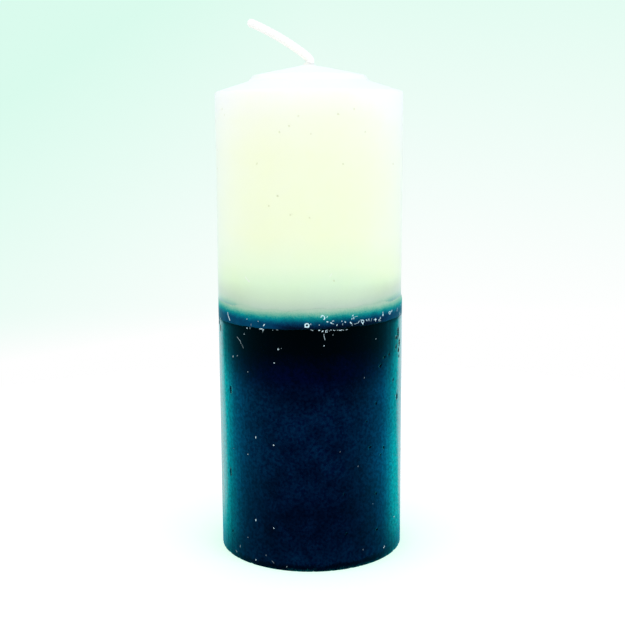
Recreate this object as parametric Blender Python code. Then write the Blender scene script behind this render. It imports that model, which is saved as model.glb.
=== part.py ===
"""Two-colour pillar candle: ivory upper wax, navy lower wax, a primed wick and its steel tab.

Metres, +Z up, origin in the middle of the base, +X to the right of the side that faces the viewer.

The candle is cast upside down in a mould. The ivory is poured first and shrinks a little as it
sets, so the navy wax that is poured on it also runs up between the ivory and the mould wall and
leaves a thin film over the ivory's foot. The mould stood slightly out of level, which tilts the
joint between the colours.
"""

from math import cos, exp, pi, radians, sin, tan

import bmesh
import bpy
from mathutils import Matrix, Vector

# Fit between pieces that touch
SEAT_GAP = 0.0003

# Wax body
BODY_RADIUS = 0.02875
BASE_ROUND = 0.0005
SHOULDER_HEIGHT = 0.142  # where the wall and the outer slope would meet without their round
SHOULDER_ROUND = 0.0008
UPPER_SHRINK = 0.0002  # how far the ivory drew in from the mould wall

# Moulded top
OUTER_SLOPE = 17.7  # degrees
STEP_WIDTH = 0.0025
STEP_RISE = 0.002
BOSS_RADIUS = 0.0165
BOSS_SLOPE = 11.8  # degrees

# Joint between the two pours
JOINT_HEIGHT = 0.074  # at the wall, above the origin
JOINT_TILT = 0.0153  # rise toward +X, per unit of X
JOINT_DISH = 0.002  # how far the ivory's poured face sank round the wick
FILM_HEIGHT = 0.0065
FILM_FOOT = 0.0005  # thickness where the film leaves the navy wax
FILM_EDGE = 0.00025  # thickness at its upper edge

# Wick
WICK_RADIUS = 0.0013
WICK_LENGTH = 0.0209  # from the bend to the middle of the rounded tip
WICK_KINK_RISE = 60.0  # degrees above level, where it leaves the bend
WICK_KINK_LENGTH = 0.0009  # over which the kink fades
WICK_ROOT_RISE = 40.0
WICK_TIP_RISE = 24.5

# Steel tab
TAB_RADIUS = 0.010
TAB_THICKNESS = 0.0004
TAB_RECESS = 0.0006  # its underside above the base
NECK_WALL = 0.0004
NECK_LENGTH = 0.006
NECK_FILLET = 0.0006

# Facets
TURN_STEPS = 80
WICK_SIDES = 16
WICK_RINGS = 22
DOME_RINGS = 4
ROUND_STEPS = 3
STEP_POINTS = 6
JOINT_POINTS = 4
POLE_MERGE = 0.000001  # draws the last ring of a dome together
SHARP_ANGLE = 35.0  # degrees, above which an edge is shaded sharp

# Sizes that follow
upper_radius = BODY_RADIUS - UPPER_SHRINK
bore_radius = WICK_RADIUS + SEAT_GAP
step_foot_radius = BOSS_RADIUS + STEP_WIDTH
step_foot_height = SHOULDER_HEIGHT + (upper_radius - step_foot_radius) * tan(radians(OUTER_SLOPE))
boss_height = step_foot_height + STEP_RISE
peak_height = boss_height + (BOSS_RADIUS - bore_radius) * tan(radians(BOSS_SLOPE))
bend_height = peak_height + WICK_RADIUS
film_top = JOINT_HEIGHT + FILM_HEIGHT
neck_radius = bore_radius + NECK_WALL
tab_top = TAB_RECESS + TAB_THICKNESS
fillet_centre = (neck_radius + NECK_FILLET, tab_top + NECK_FILLET)

# Colours, linear
IVORY = (0.87, 0.95, 0.73)
NAVY = (0.002, 0.013, 0.036)
TEAL = (0.002, 0.130, 0.190)
PRIMED_COTTON = (0.94, 0.96, 0.86)
TINNED_STEEL = (0.55, 0.56, 0.55)
WAX_SCATTER = 0.004  # how far light spreads in the wax


def arc(centre, radius, start, end):
    """Points (radius, height) of a round, from one angle to another in degrees."""
    turns = [radians(start + (end - start) * i / ROUND_STEPS) for i in range(ROUND_STEPS + 1)]
    return [(centre[0] + radius * cos(turn), centre[1] + radius * sin(turn)) for turn in turns]


def joint_height(radius):
    """Height of the joint before its tilt: the ivory's face sank toward the wick."""
    return JOINT_HEIGHT + JOINT_DISH * (1 - (radius / BODY_RADIUS) ** 2)


def joint_line(outer, side):
    """The joint from an outer radius in to the bore, half a gap above (side 1) or below (side -1)."""
    radii = [outer + (bore_radius - outer) * i / JOINT_POINTS for i in range(JOINT_POINTS + 1)]
    return [(radius, joint_height(radius) + side * SEAT_GAP / 2) for radius in radii]


def step_line():
    """The smooth step between the boss and the outer slope, from the boss outward."""
    points = []
    for i in range(STEP_POINTS + 1):
        share = i / STEP_POINTS
        drop = (1 - cos(pi * share)) / 2
        points.append((BOSS_RADIUS + STEP_WIDTH * share, boss_height - STEP_RISE * drop))
    return points


def shoulder_line():
    """The round between the outer slope and the wall, from the slope outward."""
    slope = radians(OUTER_SLOPE)
    centre = (
        upper_radius - SHOULDER_ROUND,
        SHOULDER_HEIGHT + SHOULDER_ROUND * (tan(slope) - 1 / cos(slope)),
    )
    return arc(centre, SHOULDER_ROUND, 90 - OUTER_SLOPE, 0)


def upper_outline():
    """The ivory: its foot is drawn in by the film that lies over it."""
    return [
        (bore_radius, peak_height),
        *step_line(),
        *shoulder_line(),
        (upper_radius, film_top + SEAT_GAP),
        (BODY_RADIUS - FILM_EDGE - SEAT_GAP, film_top + SEAT_GAP),
        *joint_line(BODY_RADIUS - FILM_FOOT - SEAT_GAP, 1),
    ]


def film_outline():
    """The film: it fills out to the mould wall and thins upward."""
    inner_foot = BODY_RADIUS - FILM_FOOT
    return [
        (BODY_RADIUS, joint_height(BODY_RADIUS) + SEAT_GAP / 2),
        (BODY_RADIUS, film_top),
        (BODY_RADIUS - FILM_EDGE, film_top),
        (inner_foot, joint_height(inner_foot) + SEAT_GAP / 2),
    ]


def lower_outline():
    """The navy: a flat ring to stand on, round a recess and a pocket that fit the tab."""
    recess_radius = TAB_RADIUS + SEAT_GAP
    pocket_top = tab_top + NECK_LENGTH + SEAT_GAP
    return [
        (recess_radius, 0),
        *arc((BODY_RADIUS - BASE_ROUND, BASE_ROUND), BASE_ROUND, -90, 0),
        *joint_line(BODY_RADIUS, -1),
        (bore_radius, pocket_top),
        (neck_radius + SEAT_GAP, pocket_top),
        *arc(fillet_centre, NECK_FILLET - SEAT_GAP, 180, 270),
        (recess_radius, tab_top + SEAT_GAP),
    ]


def sustainer_outline():
    """The tab: a disc stamped up into a neck round the wick."""
    return [
        (bore_radius, TAB_RECESS),
        (TAB_RADIUS, TAB_RECESS),
        (TAB_RADIUS, tab_top),
        *arc(fillet_centre, NECK_FILLET, 270, 180),
        (neck_radius, tab_top + NECK_LENGTH),
        (bore_radius, tab_top + NECK_LENGTH),
    ]


def turned(outline):
    """A closed outline of (radius, height) turned once round the Z axis."""
    mesh = bmesh.new()
    points = [mesh.verts.new((radius, 0, height)) for radius, height in outline]
    sides = [mesh.edges.new((points[i - 1], point)) for i, point in enumerate(points)]
    bmesh.ops.spin(
        mesh,
        geom=points + sides,
        cent=(0, 0, 0),
        axis=(0, 0, 1),
        angle=2 * pi,
        steps=TURN_STEPS,
        use_merge=True,
    )
    bmesh.ops.recalc_face_normals(mesh, faces=mesh.faces)
    return mesh


def tilt_joint(mesh):
    """Tilts what lies near the joint, and leaves the base and the moulded top level."""
    lowest = JOINT_HEIGHT / 2
    highest = (film_top + SHOULDER_HEIGHT) / 2
    for point in mesh.verts:
        if lowest < point.co.z < highest:
            point.co.z += JOINT_TILT * point.co.x
    return mesh


def wick_direction(along):
    """Which way the wick runs, this far from the bend: kinked at first, then leaning ever flatter to -X."""
    rise = WICK_ROOT_RISE + (WICK_TIP_RISE - WICK_ROOT_RISE) * along / WICK_LENGTH
    rise += (WICK_KINK_RISE - WICK_ROOT_RISE) * exp(-along / WICK_KINK_LENGTH)
    return Vector((-cos(radians(rise)), 0, sin(radians(rise))))


def wick_rings():
    """(centre, direction, radius) of each ring of the exposed wick, which is a dome at both ends."""
    step = WICK_LENGTH / WICK_RINGS
    root, tip = wick_direction(0), wick_direction(WICK_LENGTH)
    turns = [pi / 2 * i / DOME_RINGS for i in range(DOME_RINGS)]
    rings = [(-root * WICK_RADIUS * cos(turn), root, WICK_RADIUS * sin(turn)) for turn in turns]
    centre = Vector()
    rings.append((centre.copy(), root, WICK_RADIUS))
    for i in range(WICK_RINGS):
        centre += wick_direction((i + 0.5) * step) * step
        rings.append((centre.copy(), wick_direction((i + 1) * step), WICK_RADIUS))
    for turn in reversed(turns):
        rings.append((centre + tip * WICK_RADIUS * cos(turn), tip, WICK_RADIUS * sin(turn)))
    return rings


def exposed_wick():
    """The wick above the wax, with its bend at the origin, in the middle of its domed root."""
    mesh = bmesh.new()
    across = Vector((0, 1, 0))
    turns = [2 * pi * i / WICK_SIDES for i in range(WICK_SIDES)]
    loops = []
    for centre, direction, radius in wick_rings():
        above = direction.cross(across)
        around = [centre + (across * cos(turn) + above * sin(turn)) * radius for turn in turns]
        loops.append([mesh.verts.new(point) for point in around])
    for loop, following in zip(loops, loops[1:]):
        for i in range(WICK_SIDES):
            mesh.faces.new((loop[i - 1], loop[i], following[i], following[i - 1]))
    bmesh.ops.remove_doubles(mesh, verts=mesh.verts, dist=POLE_MERGE)
    bmesh.ops.recalc_face_normals(mesh, faces=mesh.faces)
    return mesh


def stem():
    """The wick inside the wax, cut off flush under the tab."""
    length = peak_height - SEAT_GAP - TAB_RECESS
    mesh = bmesh.new()
    bmesh.ops.create_cone(
        mesh,
        cap_ends=True,
        segments=WICK_SIDES,
        radius1=WICK_RADIUS,
        radius2=WICK_RADIUS,
        depth=length,
        matrix=Matrix.Translation((0, 0, length / 2)),
    )
    return mesh


def material(name, colour, roughness, metallic=0.0, subsurface=0.0):
    made = bpy.data.materials.new(name)
    made.use_nodes = True
    shader = made.node_tree.nodes["Principled BSDF"]
    shader.inputs["Base Color"].default_value = (*colour, 1)
    shader.inputs["Roughness"].default_value = roughness
    shader.inputs["Metallic"].default_value = metallic
    shader.inputs["Subsurface Weight"].default_value = subsurface
    shader.inputs["Subsurface Scale"].default_value = WAX_SCATTER
    made.diffuse_color = (*colour, 1)
    made.metallic = metallic
    made.roughness = roughness
    return made


def piece(name, mesh, finish, parent, height=0.0):
    """One named sub-part, standing on the axis at this height."""
    data = bpy.data.meshes.new(name)
    mesh.to_mesh(data)
    mesh.free()
    data.materials.append(finish)
    data.shade_smooth()
    data.set_sharp_from_angle(angle=radians(SHARP_ANGLE))
    made = bpy.data.objects.new(name, data)
    made.location.z = height
    made.parent = parent
    bpy.context.scene.collection.objects.link(made)
    return made


def pivot(name, height, parent=None):
    """An empty on the axis, which carries the pieces of one rigid body."""
    made = bpy.data.objects.new(name, None)
    made.empty_display_size = BODY_RADIUS / 2
    made.location.z = height
    made.parent = parent
    bpy.context.scene.collection.objects.link(made)
    return made


def clear_scene():
    for old in list(bpy.data.objects):
        bpy.data.objects.remove(old, do_unlink=True)


def build_candle():
    clear_scene()
    candle = pivot("candle", 0)
    wick_bend = pivot("wick_bend", bend_height, candle)
    navy = material("navy_wax", NAVY, 0.30, subsurface=0.2)
    teal = material("seeped_wax", TEAL, 0.38, subsurface=0.2)
    ivory = material("ivory_wax", IVORY, 0.42, subsurface=0.6)
    cotton = material("primed_cotton", PRIMED_COTTON, 0.6, subsurface=0.3)
    steel = material("tinned_steel", TINNED_STEEL, 0.35, metallic=1.0)
    piece("lower_wax", tilt_joint(turned(lower_outline())), navy, candle)
    piece("seep_film", tilt_joint(turned(film_outline())), teal, candle)
    piece("upper_wax", tilt_joint(turned(upper_outline())), ivory, candle)
    piece("wick_sustainer", turned(sustainer_outline()), steel, candle)
    piece("wick_stem", stem(), cotton, candle, TAB_RECESS)
    piece("wick_end", exposed_wick(), cotton, wick_bend)


build_candle()
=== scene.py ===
"""The looks of a two-colour pillar candle: ivory wax over navy wax, with a primed wick.

Metres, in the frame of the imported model. The front of the candle faces -Y. Places on its wall are
given as degrees to the right of the front and as a height above the base.

The navy wax was poured last. It seeped up between the ivory and the mould as a thin film, which
fades upward from navy through teal, and every bubble and chip of the mould shows in the surface.
"""

from collections import namedtuple
from functools import partial
from math import cos, exp, pi, radians, sin, tan

import bmesh
import bpy
import numpy as np
from mathutils import Matrix, Vector


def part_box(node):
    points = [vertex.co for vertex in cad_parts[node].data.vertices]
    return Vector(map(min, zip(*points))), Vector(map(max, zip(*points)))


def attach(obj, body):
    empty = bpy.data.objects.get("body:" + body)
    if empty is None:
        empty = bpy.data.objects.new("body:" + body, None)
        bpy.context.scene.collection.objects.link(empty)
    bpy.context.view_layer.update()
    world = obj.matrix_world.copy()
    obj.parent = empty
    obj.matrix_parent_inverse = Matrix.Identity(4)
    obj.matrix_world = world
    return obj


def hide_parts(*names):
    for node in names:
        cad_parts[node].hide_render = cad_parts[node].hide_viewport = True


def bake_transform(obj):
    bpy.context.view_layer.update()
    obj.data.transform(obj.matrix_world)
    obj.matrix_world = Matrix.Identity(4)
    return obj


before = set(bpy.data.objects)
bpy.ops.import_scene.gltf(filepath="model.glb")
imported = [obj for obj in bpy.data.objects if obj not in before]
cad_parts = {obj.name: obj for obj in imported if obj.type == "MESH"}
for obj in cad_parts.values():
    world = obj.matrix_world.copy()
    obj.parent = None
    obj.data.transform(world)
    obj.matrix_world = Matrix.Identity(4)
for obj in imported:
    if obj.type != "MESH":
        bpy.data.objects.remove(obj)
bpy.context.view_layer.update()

MM = 0.001

# Sizes read from the frame
BODY_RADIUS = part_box("lower_wax")[1].x
UPPER_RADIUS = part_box("upper_wax")[1].x
PEAK_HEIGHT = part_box("upper_wax")[1].z
TAB_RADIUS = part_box("wick_sustainer")[1].x
TAB_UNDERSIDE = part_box("wick_sustainer")[0].z
NECK_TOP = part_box("wick_sustainer")[1].z
WICK_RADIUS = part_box("wick_stem")[1].x

# Joint between the two pours
JOINT_HEIGHT = 74 * MM
JOINT_TILT = 0.0153  # rise toward +X, per unit of X
JOINT_DISH = 2 * MM
JOINT_OVER = 0.1 * MM  # the ivory's face lies this far above it
JOINT_UNDER = 0.2 * MM  # and the navy's this far below
FILM_HEIGHT = 6.5 * MM
FILM_GAP = 0.03 * MM  # half the seam between the film and the navy wax
FILM_FOOT = 0.45 * MM  # thickness at the seam
FILM_SEAT = 5.2 * MM  # height above the joint up to which the ivory narrows behind the film
FILM_CLEARANCE = 0.05 * MM  # between the film's foot and the ivory
FILM_LIP = 0.004 * MM  # thickness where it peters out
IVORY_LEAN = 0.13 * MM  # how far the ivory set toward -X of the navy
IVORY_SWELL = 0.03 * MM  # how far its wall stands out from the model's
NAVY_SHRINK = 0.03 * MM  # how far the navy's wall stands in
RAGGED = 0.07 * MM  # how far the seam strays from its line
RAGGED_REACH = 0.9 * MM  # how far up and down the wall that carries

# Moulded top
SHOULDER_HEIGHT = 142 * MM
SHOULDER_ROUND = 0.8 * MM
OUTER_SLOPE = radians(17.7)
STEP_WIDTH = 2.5 * MM
STEP_RISE = 2 * MM
BOSS_RADIUS = 16.5 * MM
BOSS_SLOPE = radians(11.8)
BORE_RADIUS = 1.6 * MM
MENISCUS_RISE = 0.7 * MM  # wax drawn up round the wick
MENISCUS_REACH = 0.75 * MM
MENISCUS_LAP = 0.03 * MM  # how far it goes into the wick

# Base
BASE_ROUND = 0.08 * MM  # sharper than the model's, as chips take its place
CHIP_DEPTH = 0.18 * MM
CHIP_HEIGHT = 1.3 * MM
FOOT_HEIGHT = 1.5 * MM  # of the finer facets that carry the chips
TAB_GAP = 0.3 * MM  # between the wax and the tab
RECESS_CHAMFER = 0.15 * MM
TAB_THICKNESS = 0.4 * MM
TAB_CORNER = 0.15 * MM
BEAD_RADIUS = 6 * MM  # a stamped ring, from here outward
BEAD_WIDTH = 0.9 * MM
BEAD_HEIGHT = 0.16 * MM
NECK_WALL = 0.4 * MM
NECK_FILLET = 0.6 * MM
NECK_MOUTH = 0.5 * MM  # round of its lower edge

# Wick
BEND_HEIGHT = PEAK_HEIGHT + WICK_RADIUS
WICK_LENGTH = 20.9 * MM
WICK_KINK_RISE = 60.0  # degrees above level
WICK_KINK_LENGTH = 0.9 * MM
WICK_ROOT_RISE = 38.7  # past the kink
WICK_TIP_RISE = 23.2
WICK_TURN = 0.6 * MM  # over which it turns from upright, either side of the bend
WICK_SHIFT = 0.4 * MM  # how far toward +X of the axis it leaves the wax
WICK_ROOT = -2.4 * MM  # where that shift starts, along from the bend

# Facets
WALL_COLUMNS = 360
FILM_COLUMNS = 720
WALL_STEP = 0.7 * MM
FOOT_STEP = 0.25 * MM
FILM_STEP = 0.2 * MM
TOP_STEP = 0.8 * MM
TAB_COLUMNS = 160
WALL_REACH = (0.45 * MM, 0.3 * MM, 0.16 * MM)  # round a mark, in each round of splitting
FILM_REACH = (0.25 * MM, 0.14 * MM)
WALL_SKIN = 0.4 * MM  # only faces that near the wall are split
FILM_SKIN = 0.05 * MM

# Mark: a stroke on the wall, from an angle and height along a run of (across, up), this wide.
# depth hollows it, pale whitens it, dark gives it painted shade, and ring opens it to a circle.
Mark = namedtuple("Mark", "angle height run width depth pale dark ring")


def mark(angle, height, run, width, depth, pale=0.0, dark=0.0, ring=0.0):
    """A mark with its sizes given in millimetres and its angle in degrees."""
    across, up = run
    return Mark(
        radians(angle), height * MM, (across * MM, up * MM), width * MM, depth * MM, pale, dark, ring * MM
    )


def pit(angle, height, width, depth, dark, across=0, up=0):
    """A hollow left by a bubble or a grain, darkened with painted shade."""
    return mark(angle, height, (across, up), width, depth, dark=dark)


def speck(angle, height, width, pale, across=0, up=0):
    """A pale fleck on the wax."""
    return mark(angle, height, (across, up), width, width / 3, pale)


def burst(angle, height, radius, width, depth, pale, *middle):
    """A burst bubble: its broken rim, this wide and deep, and its middle as pit() takes it."""
    rim = mark(angle, height, (0, 0), width, depth, pale, ring=radius)
    return [rim, pit(angle, height, *middle)]


def front_marks(pits, specks, bursts=()):
    """The marks in view at the front, from tables of what pit(), speck() and burst() take."""
    marks = [pit(*row) for row in pits] + [speck(*row) for row in specks]
    for row in bursts:
        marks += burst(*row)
    return marks


def joint_at(x):
    """Height of the joint on the wall: the mould stood slightly out of level."""
    return JOINT_HEIGHT + JOINT_TILT * x


def rise_over_joint(angle, rise):
    """Height in millimetres of a place this many millimetres over the joint, at an angle in degrees."""
    return joint_at(BODY_RADIUS * sin(radians(angle))) / MM + rise


def ripple(seed, angle, height, turns, rises, waves=20):
    """Smooth noise over the wall, mostly within -1 to 1, made of waves that close round it."""
    draw = np.random.default_rng(seed)
    total = np.zeros_like(angle)
    for _ in range(waves):
        around = draw.integers(*turns)
        upward = draw.uniform(-rises, rises)
        total += np.sin(around * angle + upward * height + draw.uniform(0, 2 * pi))
    return total / waves**0.5


def ragged(angle):
    """How far the seam strays up or down from its line, round the wall."""
    level = np.zeros_like(angle)
    broad = ripple(11, angle, level, (4, 24), 0)
    fine = ripple(12, angle, level, (60, 260), 0)
    return RAGGED * (broad + fine)


def near_seam(above):
    """1 at the seam, fading away from it over what the seam's raggedness reaches."""
    return np.exp(-((above / RAGGED_REACH) ** 2))


def smooth(value, low, high):
    """0 below low, 1 above high and a smooth step between."""
    share = np.clip((value - low) / (high - low), 0, 1)
    return share * share * (3 - 2 * share)


def ivory_wall(angle, height):
    """Radius of the ivory's wall: it sank a little in its mould, and set to one side of the navy."""
    swell = ripple(31, angle, height, (2, 14), 90) * 0.015 * MM
    lean = IVORY_LEAN * np.sin(angle) * smooth(-height, -112 * MM, -84 * MM)
    return UPPER_RADIUS + IVORY_SWELL + swell - lean


def steps(start, end, step):
    """Numbers from start to end, both included, about this far apart."""
    count = max(1, round(abs(end - start) / step))
    return [start + (end - start) * i / count for i in range(count + 1)]


def line(start, end, step):
    """Points (radius, height) along a straight line, with both ends."""
    length = Vector((end[0] - start[0], end[1] - start[1])).length
    shares = steps(0, 1, step / length)
    return [tuple(Vector(start).lerp(Vector(end), share)) for share in shares]


def arc(centre, radius, start, end, count=5):
    """Points (radius, height) of a round, from one angle to another in radians."""
    turns = steps(start, end, abs(end - start) / count)
    return [(centre[0] + radius * cos(turn), centre[1] + radius * sin(turn)) for turn in turns]


def joint_face(outer, inner, lift):
    """The joint between the pours, from an outer radius to an inner one: the ivory's face sank in."""
    radii = steps(outer, inner, 2 * MM)
    return [(r, JOINT_HEIGHT + JOINT_DISH * (1 - (r / BODY_RADIUS) ** 2) + lift) for r in radii]


def turned(outline, columns):
    """A closed outline of (radius, height) turned once round the axis."""
    mesh = bmesh.new()
    rings = []
    for turn in np.arange(columns) * 2 * pi / columns:
        across, away = sin(turn), -cos(turn)
        rings.append([mesh.verts.new((radius * across, radius * away, z)) for radius, z in outline])
    for i, ring in enumerate(rings):
        for row in range(len(outline)):
            mesh.faces.new((rings[i - 1][row - 1], ring[row - 1], ring[row], rings[i - 1][row]))
    bmesh.ops.recalc_face_normals(mesh, faces=mesh.faces)
    return mesh


def tilt(mesh, level_below, level_above):
    """Tilts the joint, and leaves what lies below or above these heights level."""
    for point in mesh.verts:
        height = point.co.z
        if height < JOINT_HEIGHT:
            share = (height - level_below) / (JOINT_HEIGHT - level_below)
        else:
            share = (level_above - height) / (level_above - JOINT_HEIGHT)
        point.co.z += JOINT_TILT * point.co.x * min(max(share, 0), 1)


def places(points):
    """Angle right of the front, height and radius of points given as rows of (x, y, z)."""
    return np.arctan2(points[:, 0], -points[:, 1]), points[:, 2], np.hypot(points[:, 0], points[:, 1])


def mark_distance(one, angle, height):
    """Distance along the wall from each place to a mark's line."""
    turn = (angle - one.angle + pi) % (2 * pi) - pi
    across, up = turn * BODY_RADIUS, height - one.height
    run_across, run_up = one.run
    length = run_across**2 + run_up**2
    share = np.clip((across * run_across + up * run_up) / length, 0, 1) if length else 0
    away = np.hypot(across - share * run_across, up - share * run_up)
    return np.abs(away - one.ring) if one.ring else away


def refine(mesh, marks, reaches, skin):
    """Splits the faces near the marks, once for each reach, so that the marks have points to move.

    Only faces within a skin of this depth under the wall are split.
    """
    for reach in reaches:
        faces = list(mesh.faces)
        angle, height, radius = places(np.array([face.calc_center_median() for face in faces]))
        near = np.zeros(len(faces), bool)
        for one in marks:
            near |= mark_distance(one, angle, height) < reach + one.width
        near &= radius > BODY_RADIUS - skin
        edges = {edge for face, split in zip(faces, near) if split for edge in face.edges}
        bmesh.ops.subdivide_edges(
            mesh, edges=list(edges), cuts=1, use_grid_fill=True, use_single_edge=True
        )


def press_marks(marks, angle, height):
    """(hollow, pale, dark) at each place: how deep the marks go, how pale they are, and their painted
    shade.
    """
    hollow, pale, dark = np.zeros_like(angle), np.zeros_like(angle), np.zeros_like(angle)
    rough = 1 + 0.3 * ripple(21, angle, height, (150, 900), 15000)
    for one in marks:
        edge = 1 - (mark_distance(one, angle, height) * rough / one.width) ** 2
        share = smooth(edge, 0, 1)
        hollow = np.maximum(hollow, one.depth * share)
        pale = np.maximum(pale, one.pale * smooth(edge, 0, 0.55))
        dark = np.maximum(dark, one.dark * smooth(edge, 0, 0.8))
    return hollow, pale, dark


def in_scene(name, data):
    made = bpy.data.objects.new(name, data)
    bpy.context.scene.collection.objects.link(made)
    return made


def mesh_of(name, mesh, material):
    """The mesh's data, smooth and with its material."""
    data = bpy.data.meshes.new(name)
    mesh.to_mesh(data)
    mesh.free()
    data.materials.append(material)
    data.shade_smooth()
    return data


def keep_mask(data, name, values):
    """Stores a value for each point, which painted() reads in the material."""
    data.attributes.new(name, "FLOAT", "POINT").data.foreach_set("value", np.array(values, np.float32))


def push_out(points, by):
    """Moves points away from the axis by these distances."""
    radius = np.hypot(points[:, 0], points[:, 1])
    points[:, :2] *= (1 + by / np.maximum(radius, MM))[:, None]


def finished(name, mesh, material, marks=(), shape=None):
    """Makes an object of a mesh, after shape() has moved its points and the marks are pressed in."""
    data = mesh_of(name, mesh, material)
    flat = np.empty(len(data.vertices) * 3)
    data.vertices.foreach_get("co", flat)
    points = flat.reshape(-1, 3)
    angle, height, radius = places(points)
    on_wall = smooth(radius, BODY_RADIUS - 1 * MM, BODY_RADIUS - 0.35 * MM)
    hollow, pale, dark = press_marks(marks, angle, height)
    if shape:
        shape(points, on_wall)
    points[:, :2] *= (1 - hollow * on_wall / np.maximum(radius, MM))[:, None]
    data.vertices.foreach_set("co", points.ravel())
    keep_mask(data, "pale", pale * on_wall)
    keep_mask(data, "dark", dark * on_wall)
    return in_scene(name, data)


# Upper wax


def step_line():
    """The step between the boss and the outer slope, from the boss outward."""
    foot = SHOULDER_HEIGHT + (UPPER_RADIUS - BOSS_RADIUS - STEP_WIDTH) * tan(OUTER_SLOPE)
    points = []
    for share in steps(0, 1, 0.1):
        lift = STEP_RISE * (1 + cos(pi * share)) / 2
        points.append((BOSS_RADIUS + STEP_WIDTH * share, foot + lift))
    return points


def shoulder_line():
    """The round between the outer slope and the wall, from the slope outward."""
    centre = (
        UPPER_RADIUS - SHOULDER_ROUND,
        SHOULDER_HEIGHT + SHOULDER_ROUND * (tan(OUTER_SLOPE) - 1 / cos(OUTER_SLOPE)),
    )
    return arc(centre, SHOULDER_ROUND, pi / 2 - OUTER_SLOPE, 0, 8)


def meniscus_line():
    """The wax that wets the wick, from the wick outward."""
    points = []
    for radius in steps(WICK_RADIUS - MENISCUS_LAP, BORE_RADIUS + 2 * MENISCUS_REACH, 0.15 * MM):
        cone = PEAK_HEIGHT - (radius - BORE_RADIUS) * tan(BOSS_SLOPE)
        fade = exp(-(((radius - WICK_RADIUS) / MENISCUS_REACH) ** 2) * 3)
        points.append((radius, cone + MENISCUS_RISE * (fade - 0.2)))
    return points


def upper_outline():
    meniscus = meniscus_line()
    step = step_line()
    shoulder = shoulder_line()
    seat_top = (UPPER_RADIUS, JOINT_HEIGHT + FILM_SEAT)
    foot_radius = BODY_RADIUS - FILM_FOOT - FILM_CLEARANCE
    return [
        *meniscus,
        *line(meniscus[-1], step[0], TOP_STEP)[1:],
        *step[1:],
        *line(step[-1], shoulder[0], TOP_STEP)[1:],
        *shoulder[1:],
        *line(shoulder[-1], seat_top, WALL_STEP)[1:],
        *line(seat_top, (foot_radius, JOINT_HEIGHT + JOINT_OVER), WALL_STEP)[1:],
        *joint_face(foot_radius - 0.2 * MM, BORE_RADIUS, JOINT_OVER),
        (BORE_RADIUS, PEAK_HEIGHT - 2 * MM),
        (BORE_RADIUS, PEAK_HEIGHT - 0.5 * MM),
    ]


def swell_upper(points, on_wall):
    """The ivory's wall and top are smooth but not true: cast wax sinks and bulges a little."""
    angle, height, radius = places(points)
    wall = ivory_wall(angle, height) - UPPER_RADIUS
    wall += ripple(32, angle, height, (60, 150), 60) * 0.001 * MM
    push_out(points, wall * on_wall)
    on_top = smooth(height, SHOULDER_HEIGHT - 2 * MM, SHOULDER_HEIGHT) * smooth(radius, 2.5 * MM, 5 * MM)
    points[:, 2] += ripple(33, angle, radius, (1, 7), 500) * 0.03 * MM * on_top * (1 - on_wall)


IVORY_PITS = [
    (-63, 136.9, 0.35, 0.12, 0.5),
    (-60, 135.2, 0.3, 0.1, 0.4),
    (-6, 134.6, 0.3, 0.1, 0.3),
    (-11.3, 131.9, 0.3, 0.1, 0.5),
    (-17, 130.2, 0.35, 0.12, 0.35),
    (1, 129.7, 0.25, 0.08, 0.4),
    (26.5, 136.5, 0.3, 0.1, 0.4),
    (16.5, 135.1, 0.3, 0.1, 0.5),
    (34, 130.1, 0.3, 0.1, 0.35),
    (-31.5, 121.3, 0.35, 0.12, 0.4),
    (19.5, 121.2, 0.3, 0.1, 0.4),
    (59.5, 120.7, 0.35, 0.12, 0.5),
    (-18.5, 112.3, 0.35, 0.12, 0.6),
    (-24, 109.4, 0.3, 0.1, 0.5),
    (-11, 107, 0.3, 0.1, 0.45),
    (0, 106.2, 0.3, 0.1, 0.4),
    (14, 88, 0.3, 0.1, 0.5),
]

IVORY_SPECKS = [
    (-38.5, 87.3, 0.35, 0.5),
    (-41, 88.4, 0.14, 0.6, 0.8, -0.9),
    (11.7, 89.2, 0.14, 0.5, 0.5, 0.9),
]


def upper_marks():
    """The marks in view at the front, and pits drawn for the sides and back."""
    draw = np.random.default_rng(41)
    marks = front_marks(IVORY_PITS, IVORY_SPECKS)
    pits = 34
    for _ in range(pits):
        angle, height = draw.uniform(70, 290), draw.uniform(84, 139)
        size = draw.uniform(0.25, 0.4)
        marks.append(pit(angle, height, size, size / 3, draw.uniform(0.3, 0.6)))
    return marks


def make_upper_wax(material):
    mesh = turned(upper_outline(), WALL_COLUMNS)
    tilt(mesh, 0, SHOULDER_HEIGHT - 2 * MM)
    marks = upper_marks()
    refine(mesh, marks, WALL_REACH[:2], WALL_SKIN)
    made = finished("ivory_wax_body", mesh, material, marks, swell_upper)
    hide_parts("upper_wax")
    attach(made, "candle")


# Lower wax


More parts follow.
